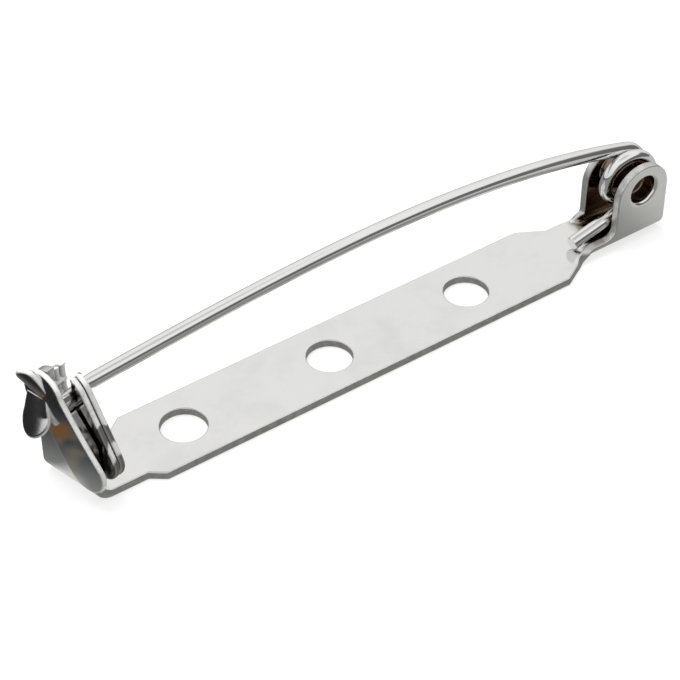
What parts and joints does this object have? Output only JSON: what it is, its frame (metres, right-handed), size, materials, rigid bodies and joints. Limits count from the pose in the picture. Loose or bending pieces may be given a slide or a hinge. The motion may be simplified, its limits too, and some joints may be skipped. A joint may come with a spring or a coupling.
{
  "type": "brooch pin finding",
  "caption": "Brooch back: a stamped bar with sewing holes, a sprung pin wire on a hinge and a turning safety lock over the pin's point.",
  "frame": {"origin": "centre of the middle hole, on the bar's flat underside", "axes": "+X along the bar from the catch to the hinge, +Y across it towards the lock's finger wings, +Z from the bar up to the pin wire"},
  "size_m": [0.0399, 0.0056, 0.0075],
  "materials": {
    "base_metal": "bright nickel plating on stamped steel",
    "wire_metal": "bright drawn steel wire",
    "lock_metal": "bright nickel plating"
  },
  "bodies": {
    "bar": {"base": "base_metal"},
    "pin": {"pin_wire": "wire_metal"},
    "safety_lock": {"lock": "lock_metal"}
  },
  "joints": [
    {"name": "pin_hinge", "type": "hinge", "parent": "bar", "child": "pin", "pos_m": [0.02045, 0, 0.00345], "axis": [0, 1, 0], "range_deg": [0, 110]},
    {"name": "lock_turn", "type": "hinge", "parent": "bar", "child": "safety_lock", "pos_m": [-0.01586, 0.00039, 0.00565], "axis": [-0.9703, -0.2419, 0], "range_deg": [0, 120]}
  ]
}
